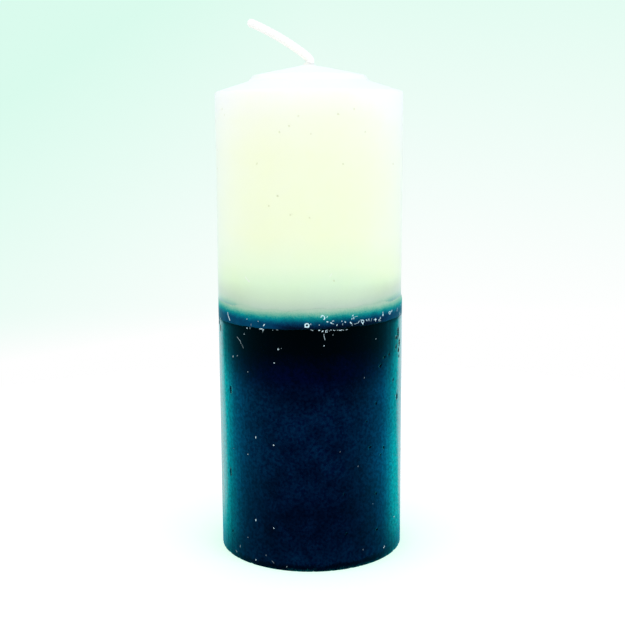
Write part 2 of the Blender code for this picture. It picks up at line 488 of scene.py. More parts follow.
def lower_outline():
    rim = BODY_RADIUS - NAVY_SHRINK
    top = JOINT_HEIGHT - FILM_GAP
    tab_top = TAB_UNDERSIDE + TAB_THICKNESS
    recess = TAB_RADIUS + TAB_GAP
    neck = BORE_RADIUS + NECK_WALL
    lip = 0.05 * MM
    return [
        (recess, RECESS_CHAMFER),
        (recess + RECESS_CHAMFER, 0),
        *line((recess + 1 * MM, 0), (rim - BASE_ROUND, 0), 1 * MM)[:-1],
        *arc((rim - BASE_ROUND, BASE_ROUND), BASE_ROUND, -pi / 2, 0, 4),
        *line((rim, BASE_ROUND), (rim, FOOT_HEIGHT), FOOT_STEP)[1:],
        *line((rim, FOOT_HEIGHT), (rim, top - lip), WALL_STEP)[1:],
        *arc((rim - lip, top - lip), lip, 0, pi / 2, 3)[1:],
        *joint_face(BODY_RADIUS - 1 * MM, BORE_RADIUS, -JOINT_UNDER),
        (BORE_RADIUS, NECK_TOP + TAB_GAP),
        (neck + TAB_GAP, NECK_TOP + TAB_GAP),
        *arc((neck + NECK_FILLET, tab_top + NECK_FILLET), NECK_FILLET - TAB_GAP, pi, pi * 1.5, 4),
        (recess, tab_top + TAB_GAP),
    ]


def swell_lower(points, on_wall):
    """The navy's wall carries the mould's long upright draw lines, a chipped foot and a ragged lip."""
    angle, height, _ = places(points)
    wall = ripple(51, angle, height, (2, 12), 80) * 0.012 * MM
    wall += ripple(52, angle, height, (40, 120), 40) * 0.003 * MM
    wall += ripple(53, angle, height, (140, 178), 60) * 0.001 * MM
    chips = smooth(ripple(54, angle, height, (30, 175), 1500), 0.7, 1.6)
    foot = smooth(-height, -CHIP_HEIGHT, -0.1 * MM)
    wall -= CHIP_DEPTH * chips * foot
    push_out(points, wall * on_wall)
    points[:, 2] += ragged(angle) * near_seam(height - joint_at(points[:, 0])) * on_wall


NAVY_PITS = [
    # right of the front
    (69.3, 68.8, 0.7, 0.5, 1, 0, 1.7),
    (65.4, 68.2, 0.46, 0.4, 1, 0.3, 0),
    (72.2, 65.8, 0.66, 0.5, 1, 0, 0.6),
    (65.3, 65.3, 0.48, 0.42, 1, 0.3, 0),
    (70.2, 63.8, 0.6, 0.46, 1, 0.2, 0.2),
    (71.5, 61.9, 0.48, 0.36, 1),
    (55.6, 63.9, 0.36, 0.22, 1, 0.1, 0.1),
    (50, 63.4, 0.34, 0.22, 1, 0.5, 0.3),
    (46.2, 61.1, 0.4, 0.2, 0.6, 0.5, 0.2),
    (61, 55.2, 0.32, 0.2, 0.75, 0.2, 0.4),
    (67.8, 49.3, 0.6, 0.46, 1, 0, 0.6),
    (42.8, 49.8, 0.34, 0.22, 0.95, 0.2, 0.3),
    (35.3, 45, 0.34, 0.18, 0.75, 0.2, 0),
    (37.7, 36.8, 0.38, 0.22, 0.95, 0.4, 0.1),
    (50.4, 35.4, 0.36, 0.24, 1, 0, 0.2),
    (47.5, 33.3, 0.32, 0.18, 0.6, 0, 0.3),
    (20, 23.6, 0.28, 0.16, 0.8, 0, 0.2),
    (43.2, 21.6, 0.34, 0.22, 0.95, 0.1, 0.3),
    (43.7, 10.1, 0.38, 0.22, 1, 0.4, 0.1),
    (21.2, 11, 0.32, 0.2, 0.85, 0.4, 0.3),
    # left of the front
    (-57.3, 52.3, 0.4, 0.3, 1, -0.1, 1.6),
    (-59.4, 26, 0.4, 0.3, 1, -0.1, 1.6),
    (-58.1, 7.8, 0.38, 0.25, 1, 0, 0.2),
    (-77, 72.2, 0.55, 0.3, 1, 0, 0.9),
    (-73.5, 70.2, 0.45, 0.28, 1, 0, 1.2),
]

NAVY_SPECKS = [
    # flecks
    (-42.9, 71.3, 0.14, 1),
    (-19, 67.8, 0.13, 1, 0, 0.3),
    (-17, 68.2, 0.1, 0.4),
    (-21.8, 63.8, 0.12, 0.8, 0.2, -0.1),
    (-40.3, 60, 0.1, 0.65, 0, 0.15),
    (-54.1, 63.5, 0.12, 0.85, 0, 0.3),
    (-49.9, 64.1, 0.08, 0.4, 0.4, 0.3),
    (-34.9, 40.2, 0.14, 1, 0, 0.4),
    (-22.7, 38.9, 0.12, 1, 0.2, -0.15),
    (-41.4, 34.5, 0.11, 0.75, 0.1, 0.1),
    (-55.2, 34.8, 0.11, 0.4),
    (-35.8, 14.2, 0.14, 1, 0, 0.4),
    (-23.3, 13.1, 0.12, 0.9, 0.2, -0.2),
    (-42.5, 8.1, 0.11, 0.65),
    (42.5, 69.6, 0.11, 0.41, 0.1, 0.1),
    (33.6, 58.4, 0.1, 0.22, 0.1, 0.2),
    (17.4, 36.8, 0.1, 0.19, 0.1, 0.2),
    (29.2, 31.6, 0.1, 0.22, 0.2, 0.2),
    (40.7, 18.8, 0.1, 0.33),
    (64.3, 11.1, 0.16, 0.85, 0.2, 0.1),
    (33.1, 4.9, 0.1, 0.28, 0, 0.2),
    (-54.8, 2, 0.14, 0.33, 0.6, -0.4),
    (-50, 3.9, 0.14, 0.3, 0, 0.6),
    (-36.3, 1.5, 0.14, 0.85, 0.1, 0.3),
    (-28.6, 3.8, 0.12, 0.25, 0, 0.2),
    (-24.6, 2.5, 0.1, 0.22, 0.7, -0.6),
    (-15, 1.2, 0.11, 0.36, 0, 0.2),
    (50.8, 3.2, 0.13, 0.95, 0.6, 0.4),
    # scratches
    (-49.4, 70, 0.08, 0.4, 1.3, -0.9),
    (-46.7, 69.2, 0.08, 0.42, 0.5, -1),
    (-45, 68, 0.08, 0.3, 0.6, -0.9),
    (8, 72.6, 0.08, 0.45, 0, -0.5),
    (8.1, 71.9, 0.08, 0.6, 0.25, -1),
    (8, 69.1, 0.11, 0.95, 0.05, 0.1),
    (13.3, 72.1, 0.08, 0.4, 0, 0.2),
    # crumbs under the seam
    (-40.4, 73.2, 0.15, 1, 0, 0.1),
    (-38, 73.2, 0.08, 0.4, 0, 0.4),
    (-31, 73.6, 0.12, 1, 0.9, -0.05),
    (-28.8, 73.3, 0.12, 0.9, 0.3, 0.3),
    (-22.2, 73.5, 0.1, 0.5),
    (-19.9, 73.6, 0.08, 0.4, 0.5, 0),
    (0.5, 73.75, 0.08, 0.6, 0.6, 0),
    (5, 73.7, 0.13, 0.9, 0.25, 0),
    (7.1, 73.35, 0.15, 1, 0.2, 0.15),
    (9.1, 73.65, 0.08, 0.9, 0.5, 0),
    (9, 73.6, 0.08, 0.9, 0, -0.5),
    (9.1, 73.1, 0.08, 0.8, 0.5, 0.05),
    (11.2, 73.45, 0.09, 0.55),
    (12.1, 73.68, 0.11, 1),
    (13.5, 73.65, 0.08, 0.75, 0.5, 0),
    (15.9, 73.6, 0.08, 0.85, 0.3, 0),
    (17, 73.58, 0.08, 0.95, 0.9, 0),
    (19.3, 73.53, 0.08, 0.75, 0.3, 0),
    (21.2, 73.5, 0.08, 0.5, 0.5, 0),
]


def lower_marks():
    """The marks in view at the front, and others drawn for the sides and back."""
    draw = np.random.default_rng(61)
    marks = front_marks(NAVY_PITS, NAVY_SPECKS)
    pits, specks, scratches = 36, 40, 9
    for _ in range(pits):
        angle, height = draw.uniform(76, 280), draw.uniform(3, 72)
        size = draw.uniform(0.28, 0.48)
        stretch = draw.uniform(0, 1.2) * draw.integers(0, 2)
        marks.append(pit(angle, height, size, size * 0.75, 0.95, 0, stretch))
    for _ in range(specks):
        angle, height = draw.uniform(76, 280), draw.uniform(1.5, 72)
        size = draw.uniform(0.13, 0.19)
        marks.append(mark(angle, height, (0, draw.uniform(0, 0.3)), size, 0.05, draw.uniform(0.5, 1)))
    for _ in range(scratches):
        angle, height = draw.uniform(80, 275), draw.uniform(8, 70)
        run = (draw.uniform(-1.2, 1.2), draw.uniform(-2.2, 2.2))
        marks.append(mark(angle, height, run, 0.11, 0.05, draw.uniform(0.35, 0.7)))
    return marks


def make_lower_wax(material):
    mesh = turned(lower_outline(), WALL_COLUMNS)
    tilt(mesh, 0, SHOULDER_HEIGHT)
    marks = lower_marks()
    refine(mesh, marks, WALL_REACH, WALL_SKIN)
    made = finished("navy_wax_body", mesh, material, marks, swell_lower)
    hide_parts("lower_wax")
    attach(made, "candle")


# Film


def film_outline():
    """The film on a straight wall, outer side up and inner side down; shape_film() gives its form."""
    foot, top = JOINT_HEIGHT + FILM_GAP, JOINT_HEIGHT + FILM_HEIGHT
    outer, inner = BODY_RADIUS, BODY_RADIUS - 0.1 * MM
    return [
        *line((outer, foot), (outer, top - 0.02 * MM), FILM_STEP),
        (outer, top),
        *line((inner, top), (inner, foot), 1.6 * MM),
    ]


def shape_film(points, on_wall):
    """Thins the film upward to a ragged, feathered edge, and follows the seam at its foot."""
    angle, height, radius = places(points)
    share = (height - joint_at(points[:, 0])) / FILM_HEIGHT
    outer = radius > BODY_RADIUS - 0.05 * MM
    level = np.zeros_like(angle)
    edge = ripple(71, angle, level, (3, 30), 0) * 0.35 * MM
    edge += ripple(72, angle, level, (90, 340), 0) * 0.12 * MM
    points[:, 2] += (edge - 0.7 * MM) * share**2
    points[:, 2] += ragged(angle) * near_seam(share * FILM_HEIGHT)
    ivory = ivory_wall(angle, height)
    seat = BODY_RADIUS - FILM_FOOT
    seat = seat + (ivory - seat) * np.clip(share / 0.8, 0, 1)
    crust = ripple(73, angle, height, (40, 300), 2500) * 0.008 * MM
    crust += ripple(74, angle, height, (2, 12), 80) * 0.008 * MM
    face = BODY_RADIUS - 0.025 * MM + crust
    abrupt = 0.3 + 0.4 * np.maximum(np.sin(angle), 0)
    face = face + (ivory + FILM_LIP - face) * smooth(share, abrupt, 1)
    foot_round = 0.05 * MM * (1 - smooth(share * FILM_HEIGHT, 0, 0.15 * MM))
    wanted = np.where(outer, np.minimum(face - foot_round, BODY_RADIUS), seat)
    points[:, :2] *= (wanted / radius)[:, None]


FILM_BURSTS = [
    (-1.8, 75.2, 0.55, 0.2, 0.08, 1, 0.42, 0.3, 0.9),
    (32.3, 75.5, 0.42, 0.13, 0.05, 0.8, 0.3, 0.2, 0.5),
    (56.2, 76.7, 0.45, 0.12, 0.05, 1, 0.3, 0.2, 0.7),
]

FILM_SPECKS = [
    # on the rims of the burst bubbles
    (-2.9, 74.8, 0.19, 1, 0.5, -0.1),
    (0.4, 75.5, 0.12, 0.7, 0, 0.2),
    (32.3, 74.9, 0.17, 1, 0.1, 0),
    (58.4, 76.9, 0.14, 0.95, 0.3, 0.4),
    # pale patches and flecks
    (6.3, 77.7, 0.14, 0.85, 0.3, 0.5),
    (7, 78.3, 0.15, 0.95, 0.6, -0.3),
    (8.3, 78, 0.15, 1, 0.1, -0.6),
    (8.5, 77.4, 0.15, 0.95, -0.2, -0.4),
    (9.7, 77.6, 0.12, 0.75, 0.2, 0.4),
    (5.2, 75.3, 0.12, 0.6, 0.1, 0),
    (9.8, 76.3, 0.17, 1, 0.25, -0.1),
    (12, 75.9, 0.15, 1, 0.3, -0.1),
    (12.8, 75.6, 0.1, 0.5, 0.5, -0.1),
    (13, 76.4, 0.11, 0.75, 0.4, 0.05),
    (15.7, 75, 0.12, 0.75, 0.05, 0.25),
    (18.6, 76.2, 0.13, 0.75, 0.1, 0),
    (20.6, 76, 0.14, 0.85, 0.2, -0.25),
    (19.1, 75, 0.09, 0.4, 0.1, 0.4),
    (24, 75.7, 0.15, 1, 0.4, -0.45),
    (25.2, 74.6, 0.1, 0.65, 0.05, 0.2),
    (26.4, 74.95, 0.09, 0.5, 1.1, 0.15),
    (29.2, 75.2, 0.12, 0.65, 0.4, 0.6),
    (25.4, 77.7, 0.14, 0.8, 0.3, 0.3),
    (26.3, 77.3, 0.13, 0.75, 0, -0.6),
    (25, 76.6, 0.14, 0.8, 0.1, 0.3),
    (27.2, 77.4, 0.09, 0.55, 0.8, -0.05),
    (30.8, 76, 0.11, 0.6, 0.6, 0),
    (35, 75.9, 0.15, 0.65, 0.3, -0.3),
    (36.8, 76, 0.13, 0.65, 0.1, -0.5),
    (38.6, 75.3, 0.09, 0.45, 0.3, 0.7),
    (42.2, 75.5, 0.26, 1),
    (41, 75.5, 0.11, 0.9, 1, 0),
    (42.2, 75, 0.12, 0.9, 0, 0.9),
    (45, 75.1, 0.17, 0.55, 0.8, 0.5),
    (46.4, 75.9, 0.13, 0.6, 0.2, 0),
    (45, 74.8, 0.1, 0.5, 0.9, 0),
    (48.9, 76.3, 0.19, 1, 0, 0.5),
    (48.8, 77.2, 0.14, 0.8, 0, 0.2),
    (67, 76.4, 0.19, 0.6, 0.2, 0.8),
    (73, 74.6, 0.26, 0.85, 0.2, 0.7),
    (-28.2, 74.7, 0.16, 0.9, 0.3, 0.3),
    (-32.1, 75.8, 0.11, 0.6, 0.15, 0),
    (-40.6, 76, 0.12, 0.5, 0.25, 0.1),
    (-37.2, 74.2, 0.09, 0.3, 0, 0.5),
    (-61, 78, 0.13, 0.4, 0.1, 0.1),
    # the long scratch at the left
    (-59.8, 76.8, 0.14, 0.9, 0.4, -1.1),
    (-58.7, 75.6, 0.16, 1, 0.8, -1.1),
]


def film_marks():
    """The marks in view at the front, and others drawn for the sides and back."""
    draw = np.random.default_rng(81)
    marks = front_marks((), FILM_SPECKS, FILM_BURSTS)
    flecks, bubbles, crumbs = 60, 14, 26
    for _ in range(flecks):
        angle, rise = draw.uniform(74, 288), draw.uniform(0.9, 4.4)
        run = (draw.uniform(-0.6, 0.6), draw.uniform(-0.5, 0.5))
        width, pale = draw.uniform(0.12, 0.2), draw.uniform(0.5, 1)
        marks.append(mark(angle, rise_over_joint(angle, rise), run, width, 0.06, pale))
    for _ in range(bubbles):
        angle, rise = draw.uniform(78, 285), draw.uniform(1.2, 3.4)
        height = rise_over_joint(angle, rise)
        radius = draw.uniform(0.38, 0.6)
        marks += burst(angle, height, radius, 0.17, 0.07, 0.9, radius * 0.7, 0.22, 0.6)
    for _ in range(crumbs):
        angle = draw.uniform(74, 288)
        run = (draw.uniform(0.2, 1.1), 0)
        marks.append(mark(angle, rise_over_joint(angle, 0.18), run, 0.12, 0.04, draw.uniform(0.4, 0.9)))
    return marks


def make_film(material):
    mesh = turned(film_outline(), FILM_COLUMNS)
    for point in mesh.verts:
        point.co.z += JOINT_TILT * point.co.x
    marks = film_marks()
    refine(mesh, marks, FILM_REACH, FILM_SKIN)
    made = finished("seeped_film", mesh, material, marks, shape_film)
    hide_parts("seep_film")
    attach(made, "candle")


# Wick

BRAID_SIDES = 40
BRAID_STEP = 0.13 * MM
BRAID_STRANDS = 4  # each way round the wick
BRAID_PITCH = 5.2 * MM  # along the wick, for one turn of a strand
BRAID_DEPTH = 0.07  # as a share of the wick's radius
STEM_STEP = 4 * MM
CUT_HEIGHT = 2 * MM  # of the foot, where the rings stand close
CUT_STEP = 0.4 * MM
SHIFTED_AT = -0.4 * MM  # along the wick: from here on it stands aside by WICK_SHIFT
TIP_ROUND = 0.9  # length of the rounded tip, as a share of the wick's radius


def wick_rise(along):
    """Degrees above level, this far along from the bend: upright in the wax, then leaning to -X."""
    past = max(along, 0)
    rise = WICK_ROOT_RISE + (WICK_TIP_RISE - WICK_ROOT_RISE) * past / WICK_LENGTH
    rise += (WICK_KINK_RISE - WICK_ROOT_RISE) * exp(-past / WICK_KINK_LENGTH)
    upright = 1 - float(smooth(along, -WICK_TURN, WICK_TURN))
    return rise + (90 - rise) * upright


def wick_path():
    """(distance from the bend, centre, direction) of each ring, from the tab to the tip."""
    foot = TAB_UNDERSIDE - BEND_HEIGHT
    alongs = [foot + CUT_STEP * i for i in range(4)]
    alongs += steps(foot + CUT_HEIGHT, WICK_ROOT, STEM_STEP)
    alongs += steps(WICK_ROOT, WICK_LENGTH, BRAID_STEP)[1:]
    centre = Vector((0, 0, TAB_UNDERSIDE))
    path = []
    before = alongs[0]
    for along in alongs:
        middle = radians(wick_rise((before + along) / 2))
        centre = centre + Vector((-cos(middle), 0, sin(middle))) * (along - before)
        rise = radians(wick_rise(along))
        shift = WICK_SHIFT * float(smooth(along, WICK_ROOT, SHIFTED_AT))
        path.append((along, centre + Vector((shift, 0, 0)), Vector((-cos(rise), 0, sin(rise)))))
        before = along
    return path


def braid(turn, along):
    """Height of the plaited strands, 0 in the grooves to 1 on the strands, under its coat of wax."""
    climb = 2 * pi * along / BRAID_PITCH
    left = BRAID_STRANDS * (turn + climb)
    right = BRAID_STRANDS * (turn - climb)
    over = smooth(np.sin(left / 2 + pi / 4) * np.sin(right / 2 + pi / 4), -0.25, 0.25)
    strand_left, strand_right = np.abs(np.cos(left / 2)) ** 0.6, np.abs(np.cos(right / 2)) ** 0.6
    return over * strand_left + (1 - over) * strand_right


def wick_rings():
    """(distance from the bend, centre, direction, share of the full radius) of each ring of the wick."""
    path = wick_path()
    along, centre, direction = path[0]
    cut = []
    for share in (0.15, 0.45, 0.75, 0.93):
        cut.append((along, centre + direction * 0.1 * MM * (1 - share), direction, share))
    along, centre, direction = path[-1]
    tip = []
    for turn in steps(0, pi / 2 * 0.94, pi / 18)[1:]:
        ahead = WICK_RADIUS * TIP_ROUND * sin(turn)
        tip.append((along + ahead, centre + direction * ahead, direction, cos(turn)))
    return cut + [(*place, 1) for place in path] + tip


def make_wick(material):
    """One cord from the tab to the tip, plaited where it shows and at its cut foot."""
    turns = np.arange(BRAID_SIDES) * 2 * pi / BRAID_SIDES
    across = Vector((0, 1, 0))
    mesh = bmesh.new()
    grooves, loops = [], []
    for along, centre, direction, share in wick_rings():
        groove = 1 - braid(turns, along)
        radii = WICK_RADIUS * share * (1 - BRAID_DEPTH * groove)
        above = direction.cross(across)
        sides = [across * cos(turn) + above * sin(turn) for turn in turns]
        loops.append([mesh.verts.new(centre + side * radius) for side, radius in zip(sides, radii)])
        grooves.extend(groove)
    for loop, following in zip(loops, loops[1:]):
        for i in range(BRAID_SIDES):
            mesh.faces.new((loop[i - 1], loop[i], following[i], following[i - 1]))
    mesh.faces.new(loops[0])
    mesh.faces.new(loops[-1])
    bmesh.ops.recalc_face_normals(mesh, faces=mesh.faces)
    data = mesh_of("primed_wick", mesh, material)
    keep_mask(data, "groove", grooves)
    made = in_scene("primed_wick", data)
    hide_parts("wick_stem", "wick_end")
    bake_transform(made)


# Steel tab


def tab_outline():
    """The tab in section: a rolled rim, a stamped bead and a drawn neck with a rounded mouth."""
    low, high = TAB_UNDERSIDE, TAB_UNDERSIDE + TAB_THICKNESS
    inner, outer = BORE_RADIUS - 0.1 * MM, BORE_RADIUS + NECK_WALL
    bead = [(BEAD_RADIUS + BEAD_WIDTH * s, BEAD_HEIGHT * sin(pi * s)) for s in steps(0, 1, 0.125)]
    rim = TAB_RADIUS - TAB_CORNER
    return [
        *arc((inner + NECK_MOUTH, low + NECK_MOUTH), NECK_MOUTH, pi, pi * 1.5, 5),
        *[(radius, low + lift) for radius, lift in bead],
        *arc((rim, low + TAB_CORNER), TAB_CORNER, -pi / 2, 0, 3),
        *arc((rim, high - TAB_CORNER), TAB_CORNER, 0, pi / 2, 3),
        *[(radius, high + lift) for radius, lift in reversed(bead)],
        *arc((outer + NECK_FILLET, high + NECK_FILLET), NECK_FILLET, pi * 1.5, pi, 4),
        (outer, NECK_TOP),
        (inner, NECK_TOP),
    ]


def make_tab(material):
    made = finished("steel_wick_tab", turned(tab_outline(), TAB_COLUMNS), material)
    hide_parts("wick_sustainer")
    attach(made, "candle")


# Node helpers


def put(socket, value):
    """Gives a socket another node's output, a plain value, or a colour as red, green and blue."""
    if isinstance(value, bpy.types.NodeSocket):
        socket.id_data.links.new(value, socket)
    elif socket.type == "RGBA":
        socket.default_value = (*value, 1)
    else:
        socket.default_value = value


def node(tree, kind, inputs=(), **settings):
    """Adds a shader node; an input is a plain value or another node's output."""
    made = tree.nodes.new("ShaderNode" + kind)
    for name, value in settings.items():
        setattr(made, name, value)
    for name, value in dict(inputs).items():
        put(made.inputs[name], value)
    return made


def plug(made, **inputs):
    """Fills in a node's inputs by name, with underscores for spaces."""
    for name, value in inputs.items():
        put(made.inputs[name.replace("_", " ")], value)


def tree_of(*values):
    """The tree of the first node's output among these values."""
    return next(value.id_data for value in values if isinstance(value, bpy.types.NodeSocket))


def chain(operation, first, *others):
    """Math nodes in a row, each on the result so far and the next value."""
    for other in others:
        tree = tree_of(first, other)
        first = node(tree, "Math", {0: first, 1: other}, operation=operation).outputs[0]
    return first


plus = partial(chain, "ADD")
minus = partial(chain, "SUBTRACT")
times = partial(chain, "MULTIPLY")
divided = partial(chain, "DIVIDE")
power = partial(chain, "POWER")
largest = partial(chain, "MAXIMUM")
smallest = partial(chain, "MINIMUM")


def mixed(factor, first, second, blend="MIX"):
    """Two colours mixed by a factor."""
    inputs = {0: factor, 6: first, 7: second}
    tree = tree_of(factor, first, second)
    return node(tree, "Mix", inputs, data_type="RGBA", blend_type=blend).outputs[2]


def tinted(colour, tint):
    """A colour times another."""
    return mixed(1.0, colour, tint, "MULTIPLY")


def between(value, low, high, first=0.0, second=1.0):
    """A value's range moved to another, smoothly and clamped."""
    inputs = {"Value": value, "From Min": low, "From Max": high, "To Min": first, "To Max": second}
    return node(value.id_data, "MapRange", inputs, interpolation_type="SMOOTHSTEP").outputs[0]


def bump(height, depth):
    return node(height.id_data, "Bump", {"Height": height, "Distance": depth}).outputs["Normal"]


def own_place(tree):
    """The surface's own place in the frame."""
    return node(tree, "TexCoord").outputs["Object"]


def axes(vector):
    """The X, Y and Z of a vector."""
    return node(vector.id_data, "SeparateXYZ", {0: vector}).outputs


def painted(tree, name):
    """A value that the mesh keeps for each point, such as the pale and the painted shade of its marks."""
    return node(tree, "Attribute", attribute_name=name).outputs["Fac"]


def noise(tree, scale, detail=2.0, roughness=0.5, distortion=0.0):
    """Noise over the surface; scale is spots per metre along each axis."""
    inputs = {
        "Vector": node(tree, "Mapping", {"Vector": own_place(tree), "Scale": scale}).outputs[0],
        "Scale": 1.0,
        "Detail": detail,
        "Roughness": roughness,
        "Distortion": distortion,
    }
    return node(tree, "TexNoise", inputs).outputs["Fac"]


def ramp(value, *stops):
    """Colours by value; each stop is its place, then red, green and blue."""
    low, high = stops[0][0], stops[-1][0]
    made = node(value.id_data, "ValToRGB", {"Fac": divided(minus(value, low), high - low)})
    band = made.color_ramp
    while len(band.elements) < len(stops):
        band.elements.new(0.5)
    for element, (place, *colour) in zip(band.elements, stops):
        element.position = (place - low) / (high - low)
        element.color = (*colour, 1)
    return made.outputs["Color"]


def group(name, inputs, outputs):
    """An empty shader node group; sockets are (name, kind, value) and (name, kind)."""
    tree = bpy.data.node_groups.new(name, "ShaderNodeTree")
    for label, kind, value in inputs:
        socket = tree.interface.new_socket(label, in_out="INPUT", socket_type="NodeSocket" + kind)
        socket.default_value = value
    for label, kind in outputs:
        tree.interface.new_socket(label, in_out="OUTPUT", socket_type="NodeSocket" + kind)
    return tree, tree.nodes.new("NodeGroupInput").outputs, tree.nodes.new("NodeGroupOutput").inputs


def use(tree, name, **inputs):
    """Places a shared group in a material, with this material's own values."""
    made = node(tree, "Group", node_tree=bpy.data.node_groups[name])
    plug(made, **inputs)
    return made.outputs


# Shared effects


def rise_group():
    """Millimetres above the tilted joint, frayed by a grain so that colours bleed unevenly."""
    tree, given, result = group("Rise above joint", [("Fray", "Float", 0)], [("Rise", "Float")])
    place = axes(own_place(tree))
    rise = times(minus(place["Z"], JOINT_HEIGHT, times(place["X"], JOINT_TILT)), 1 / MM)
    broad = minus(noise(tree, (260, 260, 260), 3), 0.5)
    fine = minus(noise(tree, (3400, 3400, 2600), 2, 0.7), 0.5)
    frayed = plus(times(broad, 0.9), times(fine, 1.5))
    put(result["Rise"], plus(rise, times(frayed, given["Fray"])))


def mould_group():
    """Upright draw lines that the mould leaves, as a height for bump and as a mask."""
    tree, given, result = group(
        "Mould lines", [("Grain", "Float", 0.3)], [("Height", "Float"), ("Mask", "Float")]
    )
    lines = noise(tree, (900, 900, 22), 3, 0.6)
    wide = noise(tree, (240, 240, 9), 2)
    grain = noise(tree, (2600, 2600, 2600), 2, 0.6)
    both = plus(times(lines, 0.45), times(wide, 0.55))
    put(result["Height"], plus(both, times(grain, given["Grain"])))
    put(result["Mask"], between(both, 0.35, 0.65))


def mottle_group():
    """Cloudy patches where the wax set unevenly, this many millimetres wide, and fine specks."""
    tree, given, result = group(
        "Wax mottle", [("Size", "Float", 6)], [("Clouds", "Float"), ("Specks", "Float")]
    )
    place = own_place(tree)
    scale = divided(1 / MM, given["Size"])
    clouds = node(tree, "TexNoise", {"Vector": place, "Scale": scale, "Detail": 4, "Distortion": 0.4})
    put(result["Clouds"], between(clouds.outputs["Fac"], 0.3, 0.7))
    specks = node(tree, "TexVoronoi", {"Vector": place, "Scale": times(scale, 9), "Randomness": 1})
    put(result["Specks"], between(specks.outputs["Distance"], 0.16, 0.05))


def blemish_group():
    """Tints the wax where its marks are: pale where they whiten it, dark in hollows as painted shade."""
    white, black = (1, 1, 1, 1), (0, 0, 0, 1)
    tree, given, result = group(
        "Blemishes",
        [
            ("Color", "Color", white),
            ("Pale Color", "Color", white),
            # the painted shade of hollows
            ("Dark Color", "Color", black),
            ("Roughness", "Float", 0.4),
        ],
        [("Color", "Color"), ("Roughness", "Float")],
    )
    pale = painted(tree, "pale")
    deep = mixed(painted(tree, "dark"), given["Color"], given["Dark Color"])
    put(result["Color"], mixed(pale, deep, given["Pale Color"]))
    put(result["Roughness"], plus(times(pale, 0.25), given["Roughness"]))


def joint_colour_group():
    """The wax's colour by height above the joint, from the film's navy to the ivory's top."""
    _, given, result = group("Joint colours", [("Rise", "Float", 0)], [("Color", "Color")])
    parting = 8.5
    foot_of_ivory = (parting, 0.57, 0.725, 0.54)
    film = ramp(
        given["Rise"],
        (0, 0, 0.002, 0.011),
        (0.6, 0.0002, 0.009, 0.031),
        (1.2, 0.0003, 0.026, 0.072),
        (1.9, 0.0004, 0.066, 0.122),
        (2.6, 0.0005, 0.152, 0.185),
        (3.2, 0.006, 0.25, 0.237),
        (3.7, 0.06, 0.355, 0.29),
        (4.3, 0.19, 0.465, 0.345),
        (5.1, 0.37, 0.565, 0.43),
        (6.2, 0.47, 0.615, 0.485),
        foot_of_ivory,
    )
    ivory = ramp(
        given["Rise"],
        foot_of_ivory,
        (13, 0.70, 0.885, 0.635),
        (18, 0.81, 0.96, 0.69),
        (27, 0.885, 0.98, 0.685),
        # From 50 mm up the ivory turns whiter and cooler to its top: painted light shining through the
        # lit top.
        (50, 0.915, 0.985, 0.72),
        (60, 0.945, 0.985, 0.79),
        (68, 1, 0.985, 0.91),
    )
    put(result["Color"], mixed(chain("GREATER_THAN", given["Rise"], parting), film, ivory))


# Materials

UNTINTED = (1, 1, 1)

Wax = namedtuple("Wax", "made tree shader rise mottle mould across")


def blank_material(name):
    made = bpy.data.materials.new(name)
    made.use_nodes = True
    tree = made.node_tree
    return made, tree, tree.nodes["Principled BSDF"]


def begin_wax(name, fray, size, grain):
    """A wax to fill in: its shader, and the shared effects that its colours start from."""
    made, tree, shader = blank_material(name)
    rise = use(tree, "Rise above joint", Fray=fray)["Rise"]
    mottle = use(tree, "Wax mottle", Size=size)
    mould = use(tree, "Mould lines", Grain=grain)
    return Wax(made, tree, shader, rise, mottle, mould, axes(own_place(tree))["X"])


def finish_wax(wax, colour, pale, dark, roughness, **skin):
    """Tints the wax where its marks are, and fills in its shader."""
    marked = use(
        wax.tree, "Blemishes", Color=colour, Pale_Color=pale, Dark_Color=dark, Roughness=roughness
    )
    plug(wax.shader, Base_Color=marked["Color"], Roughness=marked["Roughness"], **skin)
    return wax.made


def skin_gloss(wax, facing):
    """The navy's surface mirrors its surroundings only where it turns well away, in a strip at the edge.

    The strip narrows near the joint and toward +X, fades over the foot, and goes into no hollow.
    """
    turned_away = minus(
        facing,
        between(wax.rise, -50, -68, 0, 0.06),
        between(wax.rise, -36, -6, 0, 0.045),
        times(between(wax.rise, -20, -68, 0.015, 0.135), between(wax.across, 0, 26 * MM)),
    )
    return times(
        between(turned_away, 0.65, 0.71),
        minus(1, painted(wax.tree, "dark")),
        between(wax.mould["Mask"], 0.2, 0.8, 0.8, 1),
        between(wax.rise, -54, -68, 1, 0.08),
    )


def painted_sheen_share(wax, facing):
    """How far painted sheen lifts the navy's colour to teal: most at grazing angles and halfway up."""
    halfway = times(between(wax.rise, -2, -21), between(wax.rise, -70, -42, 0.68))
    # Painted light from +X: there the painted sheen reaches further in, held back 11 to 42 mm under the
    # joint.
    right = between(wax.across, 0, 24 * MM, 0, 0.3)
    steepness = minus(plus(times(halfway, -3.4), 6.4), right)
    sheen = times(power(facing, steepness), plus(times(wax.mould["Mask"], 0.4), 1.04))
    upper = times(between(wax.rise, -42, -30), between(wax.rise, -11, -19))
    return times(
        smallest(sheen, between(facing, 0.72, 0.84, 0.335, 0.43)),
        minus(1, times(upper, 0.75, right)),
        between(wax.rise, 0, -1.5),
        between(wax.rise, -74, -61, 0.22, 1),
    )


